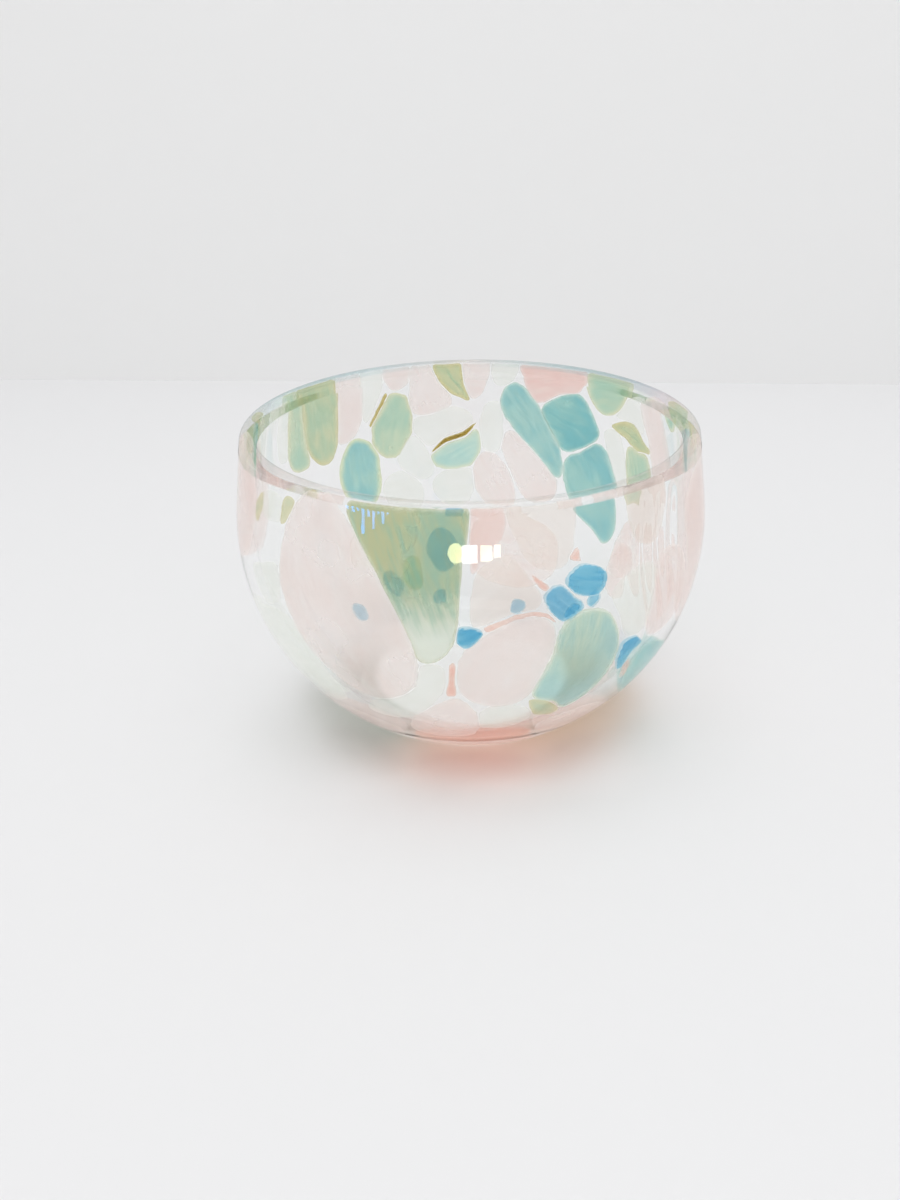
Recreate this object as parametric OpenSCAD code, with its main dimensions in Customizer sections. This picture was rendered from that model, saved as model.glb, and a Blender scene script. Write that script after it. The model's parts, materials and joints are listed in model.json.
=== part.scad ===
// Hand-blown bowl of clear glass with coloured glass chips melted into its outside.
// Frame: +Z up, -Y front, origin at the centre of the flat base. Lengths in millimetres.

/* [Bowl] */
// Widest diameter, which is the diameter of the blown bubble
bowl_diameter = 120; // [112:1:130]
// Height to the top of the lip
bowl_height = 78.5; // [74:0.5:84]
// Height of the widest point, where the bubble's centre lies
belly_height = 53; // [49:0.5:57]
// Angle by which the straight wall under the lip leans in
rim_lean = 7; // [4:0.5:10]
// Radius of the turn from the wall into the base
foot_curve = 14; // [10:0.5:18]

/* [Glass] */
// Thickness of the wall, which is also the width of the rounded lip
wall = 4.4; // [3.6:0.1:5.5]
// Thickness of the glass under the inside floor
base_thickness = 7; // [5:0.5:9]
// Radius of the turn from the inside wall into the inside floor
floor_curve = 17; // [12:0.5:20]

/* [Chips] */
// Depth of the coloured chips below the outside surface
chip_depth = 2.2; // [1.2:0.1:2.6]
// Clear glass between the highest chips and the top of the lip
rim_margin = 2.4; // [2.2:0.1:6]

/* [Hidden] */
// How far the outlines of the highest chips run above the lip
outline_overrun = 0.5;
// Straight pieces between two points of a chip outline
outline_steps = 3;
// How far a chip's cutter reaches past the layer of the wall that holds the chips
cutter_reach = 1;
// How much thicker that layer is along a cutter than square to the wall, at most
layer_slant = 1.3;
// How far the taper, the turns and the lip run past the surface beside them, so that they cross it
seam = 0.005;
// Facets of a full circle, and of the small circle of the lip
$fn = 48;
lip_facets = 24;

bubble = [0, belly_height];
bubble_radius = bowl_diameter / 2;
// The lip is a half circle on the end of the wall
lip_radius = wall / 2 + 2 * seam;
lip_height = bowl_height - lip_radius;
lip_centre = [taper_reach(wall / 2, lip_height), lip_height];

// Glass colours
PINK = [0.93, 0.78, 0.75, 0.9];
ROSE = [0.93, 0.66, 0.62, 0.9];
SALMON = [0.92, 0.55, 0.47, 0.9];
BEIGE = [0.88, 0.80, 0.75, 0.9];
PALE = [0.88, 0.89, 0.85, 0.9];
SAGE = [0.50, 0.64, 0.48, 0.9];
OLIVE = [0.47, 0.52, 0.25, 0.9];
AMBER = [0.42, 0.34, 0.05, 0.9];
TEAL = [0.25, 0.60, 0.56, 0.9];
AQUA = [0.50, 0.72, 0.65, 0.9];
BLUE = [0.08, 0.44, 0.66, 0.9];
CLEAR = [0.92, 0.95, 0.95, 0.35];

// How far an outline swings between its points: a fire-polished pebble or a sharp shard
PEBBLE = 1;
SHARD = 0.3;

// Every chip: name, colour, form, then the outline of each piece as [bearing, height] points.
// The bearing is in degrees from the front, and grows to the right as the front is looked at.
CHIPS = [
    // Front, from the left edge to the right
    ["pink_left_edge", PINK, PEBBLE,
        [[[-96, 72], [-78, 75.5], [-62, 74], [-62, 60], [-70, 51], [-94, 46]]]],
    ["pale_left_pair", PALE, PEBBLE,
        [[[-54.5, 73], [-48.5, 73], [-48.5, 68], [-54.5, 67]],
        [[-61, 52], [-55, 55], [-50, 56.5], [-49.3, 50], [-50.5, 47], [-57, 45]]]],
    ["pale_left_lower", PALE, PEBBLE,
        [[[-76, 36], [-60, 41.5], [-48, 43.5], [-41, 34], [-37, 22], [-56, 17], [-76, 22]]]],
    ["pink_front_left", PINK, PEBBLE,
        [[[-40, 75.5], [-31, 75], [-21, 61], [-14, 46], [-14, 33], [-25, 27], [-37, 33], [-46, 47],
          [-47, 62]]]],
    ["olive_front_wedge", OLIVE, PEBBLE,
        [[[-27.6, 79], [-2.4, 79], [-2.3, 66], [-2.9, 56], [-3.8, 49], [-5.6, 43.6], [-9, 41.2], [-11.6, 41.6],
          [-12.9, 46.5], [-16.3, 55], [-20.2, 62.4]]]],
    ["rose_front_rim", ROSE, PEBBLE,
        [[[0.8, 79], [6, 79], [7, 72], [4.5, 69], [1.6, 66], [0.2, 63]]]],
    ["beige_front_rim", BEIGE, PEBBLE,
        [[[9, 79], [22, 79], [22.5, 69], [19.5, 63], [13.4, 64.4], [9.8, 71]]]],
    ["beige_front_middle", BEIGE, PEBBLE,
        [[[0.7, 60], [3.2, 64.7], [8, 67], [11.5, 62.2], [14.5, 57], [13.5, 54.5], [8, 53.8], [0.5, 51.2]]]],
    ["blue_front_upper", BLUE, PEBBLE,
        [[[20.9, 60], [24.5, 62.5], [29, 61.2], [30.5, 58], [28, 55], [23.4, 56.5]]]],
    ["blue_front_middle", BLUE, PEBBLE,
        [[[16.1, 57], [19.4, 58.6], [22.2, 55.4], [24.4, 53.6], [24.2, 52.4], [20.2, 50.4], [17.6, 52.8]]]],
    ["blue_front_small", BLUE, SHARD,
        [[[-2.6, 50.2], [0, 49.9], [2.4, 49.1], [0.2, 46], [-1.3, 45.3], [-2.8, 46.5]]]],
    ["pink_front_lower", PINK, PEBBLE,
        [[[-1.5, 43], [4, 48], [10, 51.5], [16.5, 50.5], [18, 45], [16, 37], [12.5, 28.5], [5, 27], [-1, 30],
          [-3, 36.5]]]],
    ["teal_front_crescent", TEAL, PEBBLE,
        [[[20, 47], [22.5, 50], [27, 51], [32, 48.5], [35.5, 40], [34.5, 31], [30, 25], [25, 22.5],
          [21.5, 26], [15.5, 28.7], [17, 35], [19, 41]]]],
    ["beige_front_right", BEIGE, PEBBLE,
        [[[38, 79], [49, 79], [49, 69], [45, 63], [39, 66]]]],
    ["pink_front_right_small", PINK, PEBBLE,
        [[[33, 58], [37, 58.5], [37.5, 63], [34.5, 65.5], [32, 62]]]],
    ["pale_front_right", PALE, PEBBLE,
        [[[32.5, 53.5], [36, 56.5], [41, 58.5], [45, 57], [44.5, 49], [43, 41.5], [38, 41.5], [35.5, 47.5]]]],
    ["pink_front_right", PINK, PEBBLE,
        [[[47, 57], [52, 59.5], [57, 56], [59, 48], [59, 41], [54, 37.5], [47, 38], [45, 44]]]],
    ["pink_right_edge", PINK, PEBBLE,
        [[[61, 68], [75, 74], [93, 72], [98, 52], [92, 32], [76, 29], [64, 37], [61, 50]]]],
    ["blue_right_sliver", BLUE, SHARD,
        [[[37.5, 39], [41, 39.5], [44.5, 37], [41, 35], [39.5, 31], [38, 31], [37, 35]]]],
    ["teal_right_lower", TEAL, PEBBLE,
        [[[46, 33.5], [53, 33], [62, 28], [71, 24], [74, 17], [66, 12], [56, 14], [48, 20], [44, 27]]]],
    // Low on the front
    ["pale_front_lower", PALE, PEBBLE,
        [[[-11.6, 38.4], [-7, 38.6], [-7.4, 31.5], [-12.6, 24.8], [-20, 20], [-28.5, 20.8], [-26.5, 24.4],
          [-19, 27.4], [-13.4, 32]]]],
    ["pink_front_foot", PINK, PEBBLE,
        [[[-5, 28.5], [-1.5, 27], [1, 22], [0.5, 14.5], [-8, 13], [-17, 14.5], [-17, 18.5], [-10, 25]]]],
    ["pale_foot_pair", PALE, PEBBLE,
        [[[3, 24.5], [9, 25.5], [14, 24], [15, 20], [9, 17.5], [3, 18.5]],
        [[200, 29], [212, 32], [223, 28.5], [225, 21], [214, 20], [201, 22]]]],
    ["salmon_base_front", SALMON, PEBBLE,
        [[[-17, 10], [0, 11], [17, 10.5], [22, 5], [0, 2.5], [-22, 4.5]]]],
    ["pink_base_pair", PINK, PEBBLE,
        [[[-60, 13], [-40, 17], [-24, 13], [-28, 7], [-45, 4], [-62, 7]],
        [[20, 16], [34, 19], [46, 15], [56, 9], [40, 5], [26, 8]]]],
    // Back, from the right edge to the left
    ["sage_right_rim", SAGE, PEBBLE,
        [[[100, 79], [109, 79], [108, 73.5], [104, 70.5], [101, 73]]]],
    ["pink_back_right", PINK, PEBBLE,
        [[[112, 73.5], [117, 75], [121, 73], [118, 63], [115, 50], [107, 46], [106, 58], [109, 68]]]],
    ["pale_back_right", PALE, PEBBLE,
        [[[123, 73], [127, 72.5], [130, 68.5], [132, 66.8], [126, 67.2], [121, 64.5]]]],
    ["olive_back_right", OLIVE, SHARD,
        [[[118, 59.5], [121.5, 62], [125.5, 65.8], [129, 65.6], [134, 63.8], [129, 61.5], [124, 59],
          [120, 59.6]]]],
    ["sage_back_right", SAGE, PEBBLE,
        [[[120, 57.5], [124, 57.5], [127.5, 58.5], [128, 53], [126, 44], [120, 42], [118, 50]]]],
    ["pale_back_iridescent", PALE, PEBBLE,
        [[[131, 60], [133.5, 62], [136.5, 61], [135.5, 55], [132, 47], [129, 43], [129.5, 52]]]],
    ["sage_back_rim", SAGE, PEBBLE,
        [[[127.6, 79], [141.2, 79], [141.8, 72], [138.3, 67], [134.4, 66.8], [129.2, 71.6]]]],
    ["teal_back_upper", TEAL, PEBBLE,
        [[[144, 69.5], [148, 70.3], [153, 68], [157.3, 64.4], [154, 57], [150.8, 52.5], [146, 54],
          [139.5, 58.7], [140.2, 63]]]],
    ["teal_back_lower", TEAL, PEBBLE,
        [[[138.5, 56.2], [145, 52], [149.5, 49.5], [149.5, 42], [145, 35], [136, 31], [129.5, 28.5],
          [127, 33], [130, 41], [133.5, 48]]]],
    ["rose_back_rim", ROSE, PEBBLE,
        [[[145, 79], [163, 79], [162.6, 73], [158.8, 66.8], [152.6, 70], [145.2, 72]]]],
    ["teal_back_capsule", TEAL, PEBBLE,
        [[[151.6, 45], [152.6, 52], [156.3, 60], [161.1, 68], [165.5, 71.8], [169.4, 69], [169.8, 63.5],
          [165.4, 56.8], [158.3, 49.2], [153.8, 44]]]],
    ["pale_back_rim_pair", PALE, PEBBLE,
        [[[165.5, 79], [172.5, 79], [172, 72], [169, 71.5], [166, 74]],
        [[207, 79], [212.6, 79], [212.6, 68], [212, 62.5], [208.7, 69], [207, 73]]]],
    ["pale_back_strip", PALE, PEBBLE,
        [[[170.9, 65.2], [175, 64.8], [176.4, 58], [175.5, 51.2], [172.3, 49.8], [170.6, 53], [170.2, 58.5]]]],
    ["pink_back_middle", PINK, PEBBLE,
        [[[167.9, 56.3], [169.8, 51], [166.7, 43.6], [161.8, 35.4], [154, 36.4], [153, 42], [159.6, 48.8],
          [165, 54.3]]]],
    ["pink_back_drop", PINK, PEBBLE,
        [[[171.3, 47.6], [175, 49], [178, 45.8], [178, 39], [174.4, 33.6], [166, 33.4], [167.4, 41]]]],
    ["pink_back_rim_pair", PINK, PEBBLE,
        [[[174, 79], [181.3, 79], [180.9, 72], [179, 67.2], [175.6, 69.3]],
        [[197.9, 79], [205.5, 79], [204.8, 73], [202, 71.2], [198.8, 73.3]]]],
    ["olive_back_rim", OLIVE, SHARD,
        [[[182.8, 79], [192, 79], [188.4, 72.5], [184.6, 68.5], [179.9, 66.2], [182, 71.5]]]],
    ["pink_back_rim_middle", PINK, PEBBLE,
        [[[193.4, 79], [196.4, 79], [197.6, 71], [197, 63.6], [190, 63.2], [185.3, 66.2], [189.2, 71.5]]]],
    ["pale_back_upper", PALE, PEBBLE,
        [[[181, 63], [186, 64], [191, 61.7], [196, 61], [196, 57], [191.8, 52.4], [187.8, 54.8], [182.2, 57.2],
          [179.2, 60]]]],
    ["aqua_back_half_moon", AQUA, PEBBLE,
        [[[178, 56.6], [181, 53.8], [186.5, 52], [191.2, 48.7], [189.8, 45.6], [185, 44.4], [179.8, 45.6],
          [177.1, 50.5]]]],
    ["pale_back_middle", PALE, PEBBLE,
        [[[196.4, 55.4], [199.7, 52], [201.7, 48], [198.6, 44.3], [194, 41.7], [191.2, 44.5], [193.1, 50.2]]]],
    ["pale_back_low_pair", PALE, PEBBLE,
        [[[179.8, 43.3], [185, 43.6], [189.8, 42], [191.4, 38], [187, 33.4], [180.2, 34.4]],
        [[202, 44.6], [205.8, 43], [207, 38], [203.4, 32.6], [196.6, 33], [194.6, 38], [198.4, 42.6]]]],
    ["sage_back_pentagon", SAGE, SHARD,
        [[[199.6, 68.9], [204, 69.8], [209.5, 60.6], [209.2, 54.4], [205.4, 50], [201.8, 50.4], [197.9, 57],
          [197.7, 63.5]]]],
    ["teal_back_left", TEAL, PEBBLE,
        [[[211.4, 55.8], [215, 57.6], [218.7, 55.2], [221.4, 48], [219.9, 40], [215, 35.6], [210.2, 37.7],
          [208.1, 44], [208.6, 51]]]],
    ["pink_back_left_strip", PINK, PEBBLE,
        [[[214.3, 79], [221.2, 79], [221.4, 67], [221.2, 58.2], [217, 58.8], [214.2, 63.2]]]],
    ["olive_back_left", OLIVE, PEBBLE,
        [[[223.7, 79], [234.8, 79], [235.1, 69], [232.4, 58.4], [228.4, 53.2], [224.3, 53.6], [222.3, 59],
          [222.5, 68]]]],
    ["sage_back_left_strip", SAGE, PEBBLE,
        [[[237.6, 79], [241.2, 79], [242.5, 69], [242, 59], [239, 54.3], [233.2, 54.4], [235, 61.4],
          [236.5, 69]]]],
    ["pale_left_strip", PALE, PEBBLE,
        [[[242.8, 79], [247, 77], [248.8, 69], [247.4, 60.6], [243.6, 60], [243.9, 69]]]],
    // Low on the back, and the slivers and threads between the larger chips
    ["pink_back_low_pair", PINK, PEBBLE,
        [[[150, 26], [165, 30], [178, 27], [178, 15], [160, 11], [148, 16]],
        [[104, 36], [116, 38], [124, 30], [122, 20], [112, 17], [104, 24]]]],
    ["aqua_back_low_left", AQUA, PEBBLE,
        [[[199.6, 18.2], [203, 19.2], [206.4, 17], [206.6, 12.6], [203.2, 10.8], [199.8, 12.8]]]],
    ["olive_slivers", OLIVE, SHARD,
        [[[-56, 72.5], [-56.8, 68], [-58.8, 64], [-58.6, 69]],
        [[-46, 74], [-43.6, 73.5], [-47.6, 67], [-47.2, 71]],
        [[14.5, 27], [19, 25.6], [23.3, 21.8], [21.5, 20.5], [17, 21.8]],
        [[254, 79], [260, 79], [259.5, 75], [257, 74.5]]]],
    ["salmon_slivers", SALMON, SHARD,
        [[[2.6, 50], [6, 51.4], [9.5, 52.9], [13.4, 53.3], [16.4, 52.4], [18.5, 50.3], [18, 49.9], [16, 51.7],
          [13, 52.4], [9.8, 52], [6.3, 50.6], [3.4, 49.2]],
        [[12.8, 62.4], [16.8, 59.2], [16, 58], [14.8, 59]],
        [[21.5, 64.5], [23.8, 67], [24.2, 63.5]],
        [[-5, 40], [-3.4, 40], [-4, 34.5], [-3.6, 30.5], [-6.2, 30.5], [-5.2, 35]],
        [[40.5, 30.5], [42.5, 32.5], [43, 27.5], [41.5, 26]]]],
    ["amber_threads", AMBER, SHARD,
        [[[177.6, 59.4], [182, 56], [187.5, 54], [191.5, 50.2], [190.8, 49.8], [187, 52.8], [181, 54.8]],
        [[205.6, 70.7], [211, 61], [210.2, 61], [205.2, 69.8]]]],
    ["blue_back_spots", BLUE, PEBBLE,
        [[[184, 19], [187, 24.6], [192, 26], [196, 20.5], [192.5, 15.4], [187, 15.6]],
        [[208.8, 13.6], [211, 17], [214.6, 17.4], [216.6, 14], [214.4, 10.6], [210.6, 10.4]],
        [[191, 10], [196, 9.5], [197, 7], [192, 7]],
        [[125, 10.5], [130, 10.5], [131, 7.5], [126, 7]],
        [[119, 15], [124, 16], [124, 12.5], [120, 12]],
        [[232, 11], [237, 12.5], [239, 9], [234, 8]],
        [[154, 7.5], [160, 8], [160, 5], [155, 5]]]],
];

// Height of the bowl that the outlines are drawn on
drawn_height = max([for (chip = CHIPS, piece = chip[3], point = piece) point[1]]) - outline_overrun;

// Every surface of the wall is the outside moved in by `inset`: a sphere with a straight taper above it,
// and below it a turn of radius `turn` into a flat floor at `floor_z`.

// Distance from the axis of the straight taper at a height
function taper_reach(inset, z) =
    (bubble_radius - inset - (z - belly_height) * sin(rim_lean)) / cos(rim_lean);

// Height where the sphere meets the taper
function taper_start(inset) = belly_height + (bubble_radius - inset) * sin(rim_lean);

// Centre of the turn into the floor
function turn_centre(inset, floor_z, turn) =
    let (z = floor_z + turn, reach = bubble_radius - inset - turn)
    [sqrt(reach ^ 2 - (z - belly_height) ^ 2), z];

// Height where the turn meets the sphere
function turn_top(inset, floor_z, turn) =
    let (way = turn_centre(inset, floor_z, turn) - bubble)
    belly_height + way[1] / norm(way) * (bubble_radius - inset);

// Half section of everything inside such a surface, up to the height `top`
module inside_of(inset, floor_z, turn, top) {
    centre = turn_centre(inset, floor_z, turn);
    low = turn_top(inset, floor_z, turn);
    high = taper_start(inset);
    polygon([
        [0, high], [taper_reach(inset, high) - seam, high],
        [taper_reach(inset, top) - seam, top], [0, top]
    ]);
    intersection() {
        translate(bubble) rotate(rim_lean) circle(bubble_radius - inset);
        translate([0, low]) square([bowl_diameter, (high + top) / 2 - low]);
    }
    intersection() {
        translate([0, floor_z]) square([bowl_diameter, turn]);
        union() {
            translate(centre) circle(turn + seam);
            translate([0, floor_z]) square([centre[0], turn]);
        }
    }
}

// Everything below the line that the lip stands on, square to the wall
module below_lip()
    translate(lip_centre)
        rotate(rim_lean)
            translate([-bowl_diameter, -2 * bowl_diameter])
                square(2 * bowl_diameter);

// The bowl as one plain shell
module bowl_shell()
    rotate_extrude() {
        intersection() {
            difference() {
                inside_of(0, 0, foot_curve, bowl_height);
                inside_of(wall, base_thickness, floor_curve, bowl_height + wall);
            }
            below_lip();
        }
        translate(lip_centre) circle(lip_radius, $fn = lip_facets);
    }

// The layer of the wall that holds the chips, standing `proud` of the outside
module chip_layer(proud)
    rotate_extrude()
        difference() {
            inside_of(-proud, -proud, foot_curve + proud, bowl_height - rim_margin);
            inside_of(chip_depth, chip_depth, foot_curve - chip_depth, bowl_height);
        }

// Angle of the outside's outward direction above the horizontal, at a height
function outward_angle(z) =
    z >= taper_start(0) ? rim_lean
    : z >= turn_top(0, 0, foot_curve) ? asin((z - belly_height) / bubble_radius)
    : asin((z - foot_curve) / foot_curve);

// Point of the outside at a bearing and a height
function outside_point(bearing, z) =
    let (
        tilt = outward_angle(z),
        radius = z >= taper_start(0) ? taper_reach(0, z)
            : z >= turn_top(0, 0, foot_curve) ? bubble_radius * cos(tilt)
            : turn_centre(0, 0, foot_curve)[0] + foot_curve * cos(tilt)
    )
    [radius * sin(bearing), -radius * cos(bearing), z];

// Smooth closed curve through the points, which `swing` 0 leaves straight
function smooth_outline(points, swing) = [
    for (i = [0 : len(points) - 1], step = [0 : outline_steps - 1])
        let (
            n = len(points),
            before = points[(i + n - 1) % n], start = points[i],
            end = points[(i + 1) % n], after = points[(i + 2) % n],
            t = step / outline_steps
        )
        (2 * t ^ 3 - 3 * t ^ 2 + 1) * start + (3 * t ^ 2 - 2 * t ^ 3) * end
            + swing / 2 * ((t ^ 3 - 2 * t ^ 2 + t) * (end - before) + (t ^ 3 - t ^ 2) * (after - start))
];

// Middle between an outline's outermost bearings, or its outermost heights
function middle(points, axis) =
    let (values = [for (point = points) point[axis]])
    (min(values) + max(values)) / 2;

// Prism over the outline of one chip, square to the wall at the chip's middle
module chip_cutter(points, swing) {
    stretch = bowl_height / drawn_height;
    bearing = middle(points, 0);
    height = middle(points, 1) * stretch;
    tilt = outward_angle(height);
    origin = outside_point(bearing, height);
    across = [cos(bearing), sin(bearing), 0];
    along = [-sin(tilt) * sin(bearing), sin(tilt) * cos(bearing), cos(tilt)];
    outward = [cos(tilt) * sin(bearing), -cos(tilt) * cos(bearing), sin(tilt)];
    offsets = [for (point = smooth_outline(points, swing))
        outside_point(point[0], point[1] * stretch) - origin];
    sag = max([for (offset = offsets) -offset * outward]);
    depth = sag + layer_slant * chip_depth + cutter_reach;
    translate(origin)
        rotate([90 - tilt, 0, bearing])
            translate([0, 0, -depth])
                linear_extrude(depth + layer_slant * cutter_reach)
                    polygon([for (offset = offsets) [offset * across, offset * along]]);
}

// The part of that layer inside one outline, standing `proud` of the outside
module inlay(points, swing, proud)
    intersection() {
        chip_layer(proud);
        chip_cutter(points, swing);
    }

// One node of coloured glass: a chip, or each piece of a group, flush with the outside
module glass_chip(chip)
    color(chip[1])
        for (piece = chip[3]) inlay(piece, chip[2], 0);

// Clear glass: the wall, the base and the lip, with a pocket for every chip
module clear_bowl()
    color(CLEAR)
        difference() {
            bowl_shell();
            for (chip = CHIPS, piece = chip[3]) inlay(piece, chip[2], cutter_reach);
        }

clear_bowl();
for (chip = CHIPS)
    glass_chip(chip);
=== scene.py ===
"""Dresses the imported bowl: a clear blown wall with coloured glass chips melted into its outside."""

from __future__ import annotations

import json
import logging
import math
from dataclasses import dataclass, field
from enum import Enum

import bmesh
import bpy
import numpy as np
from mathutils import Matrix, Vector, noise
from mathutils.bvhtree import BVHTree
from mathutils.kdtree import KDTree

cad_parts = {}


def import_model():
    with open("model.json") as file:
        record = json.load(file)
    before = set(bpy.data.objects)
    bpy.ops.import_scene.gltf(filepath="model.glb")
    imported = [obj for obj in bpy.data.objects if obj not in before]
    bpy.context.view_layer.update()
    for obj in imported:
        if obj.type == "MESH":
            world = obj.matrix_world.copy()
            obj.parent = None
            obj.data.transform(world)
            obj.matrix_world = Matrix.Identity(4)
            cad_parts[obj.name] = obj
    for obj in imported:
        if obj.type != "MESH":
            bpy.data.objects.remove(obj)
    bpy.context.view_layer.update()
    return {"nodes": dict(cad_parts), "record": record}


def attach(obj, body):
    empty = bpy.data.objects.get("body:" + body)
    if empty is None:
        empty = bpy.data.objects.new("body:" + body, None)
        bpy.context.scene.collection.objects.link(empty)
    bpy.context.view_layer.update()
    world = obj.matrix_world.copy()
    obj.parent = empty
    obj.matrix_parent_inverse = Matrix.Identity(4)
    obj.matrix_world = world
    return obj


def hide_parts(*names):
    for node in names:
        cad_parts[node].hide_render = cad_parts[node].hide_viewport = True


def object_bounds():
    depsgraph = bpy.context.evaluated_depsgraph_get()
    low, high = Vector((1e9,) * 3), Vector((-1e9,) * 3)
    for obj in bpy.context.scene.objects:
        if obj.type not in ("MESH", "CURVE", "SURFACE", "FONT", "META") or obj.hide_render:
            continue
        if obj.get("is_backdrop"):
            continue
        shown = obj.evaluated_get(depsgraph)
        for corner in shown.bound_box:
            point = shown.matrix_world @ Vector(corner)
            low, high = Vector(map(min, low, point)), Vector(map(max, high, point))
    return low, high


LOG = logging.getLogger("bowl")
MM = 0.001
CLEAR_NODE = "clear_bowl"
CLEAR_SLOT = "clear_glass"
# See-through faces that light may pass one after another
GLASS_LAYERS = 32

Rgb = tuple[float, float, float]
Rgba = tuple[float, float, float, float]
Point = tuple[float, float, float]
Stops = tuple[tuple[float, Rgb], ...]
Outline = list[tuple[float, float]]

WHITE: Rgba = (1.0, 1.0, 1.0, 1.0)


def shown(red: float, green: float, blue: float) -> Rgba:
    """Turns a colour as it is seen, from 0 to 255, into the light values that a shader takes."""
    linear = [
        v / 12.92 if v <= 0.04045 else ((v + 0.055) / 1.055) ** 2.4
        for v in (red / 255, green / 255, blue / 255)
    ]
    return (linear[0], linear[1], linear[2], 1.0)


def put(name: str, data: bpy.types.ID) -> bpy.types.Object:
    """Makes an object from its data and puts it in the scene."""
    made = bpy.data.objects.new(name, data)
    bpy.context.scene.collection.objects.link(made)
    return made


def read(
    items: bpy.types.bpy_prop_collection, name: str, width: int, kind: type = np.float32
) -> np.ndarray:
    """Reads a property of all of a mesh's points, edges or corners: a row of `width` for each."""
    values = np.zeros(len(items) * width, kind)
    items.foreach_get(name, values)
    return values.reshape(-1, width)


def turned(
    first: Vector | float, second: Vector | float, angle: float
) -> tuple[Vector | float, Vector | float]:
    """Turns two directions, or lengths along them, that stand square to each other."""
    cos, sin = math.cos(angle), math.sin(angle)
    return cos * first - sin * second, sin * first + cos * second


class ShaderBench:
    """A new material with an empty node tree, and short ways to put nodes in it."""

    # Where a Mix node has its share, its two colours and their blend among its sockets
    SHARE, FIRST, SECOND, BLENDED = 0, 6, 7, 2

    def __init__(self, name: str) -> None:
        """Starts the material of that name."""
        self.material = bpy.data.materials.new(name)
        self.material.use_nodes = True
        self.tree = self.material.node_tree
        self.tree.nodes.clear()

    def node(self, kind: str, **inputs: object) -> bpy.types.Node:
        """Adds a node and sets or links its inputs, named with underscores for spaces."""
        made = self.tree.nodes.new(kind)
        for name, value in inputs.items():
            self.feed(made.inputs[name.replace("_", " ")], value)
        return made

    def feed(self, socket: bpy.types.NodeSocket, value: object) -> None:
        """Sets a socket to a value, or links it to another socket."""
        if isinstance(value, bpy.types.NodeSocket):
            self.tree.links.new(value, socket)
        else:
            socket.default_value = value

    def maths(self, operation: str, *values: object, clamp: bool = False) -> bpy.types.NodeSocket:
        """Adds a Math node, whose result stays from 0 to 1 if it is clamped."""
        made = self.tree.nodes.new("ShaderNodeMath")
        made.operation = operation
        made.use_clamp = clamp
        for socket, value in zip(made.inputs, values):
            self.feed(socket, value)
        return made.outputs[0]

    def spread(
        self, value: object, low: float, high: float, start: float, end: float
    ) -> bpy.types.NodeSocket:
        """Maps a value smoothly, to `start` at and below `low` and to `end` from `high` on."""
        made = self.tree.nodes.new("ShaderNodeMapRange")
        made.interpolation_type = "SMOOTHSTEP"
        ends = {"From Min": low, "From Max": high, "To Min": start, "To Max": end}
        for name, number in ends.items():
            made.inputs[name].default_value = number
        self.feed(made.inputs["Value"], value)
        return made.outputs["Result"]

    def blend(self, share: object, first: object, second: object) -> bpy.types.NodeSocket:
        """Blends two colours, by the share of the second."""
        made = self.tree.nodes.new("ShaderNodeMix")
        made.data_type = "RGBA"
        self.feed(made.inputs[self.SHARE], share)
        self.feed(made.inputs[self.FIRST], first)
        self.feed(made.inputs[self.SECOND], second)
        return made.outputs[self.BLENDED]

    def grain(self, coordinates: object, scale: float, detail: float = 3.0) -> bpy.types.NodeSocket:
        """Adds a noise pattern of a fineness and a number of octaves."""
        made = self.node("ShaderNodeTexNoise", Vector=coordinates, Scale=scale, Detail=detail)
        return made.outputs["Fac"]

    def stretch(self, coordinates: object, scale: Point) -> bpy.types.NodeSocket:
        """Scales coordinates by axis."""
        return self.node("ShaderNodeMapping", Vector=coordinates, Scale=scale).outputs["Vector"]

    def join(self, share: object, first: object, second: object) -> bpy.types.NodeSocket:
        """Mixes two shaders, by the share of the second."""
        made = self.tree.nodes.new("ShaderNodeMixShader")
        for socket, value in zip(made.inputs, (share, first, second)):
            self.feed(socket, value)
        return made.outputs[0]

    def ramp(self, value: object, stops: Stops) -> bpy.types.NodeSocket:
        """Looks a value up in a row of places from 0 to 1, each with its colour as seen."""
        made = self.node("ShaderNodeValToRGB", Fac=value)
        elements = made.color_ramp.elements
        first, *middle, last = stops
        for element, (place, colour) in zip(elements, (first, last)):
            element.position, element.color = place, shown(*colour)
        for place, colour in middle:
            elements.new(place).color = shown(*colour)
        return made.outputs["Color"]

    def layer(self, name: str) -> bpy.types.NodeSocket:
        """Reads the values that a mesh's points carry under a name."""
        made = self.node("ShaderNodeAttribute")
        made.attribute_name = name
        return made.outputs["Fac"]

    def finish(self, surface: bpy.types.NodeSocket) -> bpy.types.Material:
        """Plugs the shader into the output and gives the finished material."""
        self.node("ShaderNodeOutputMaterial", Surface=surface)
        return self.material


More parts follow.
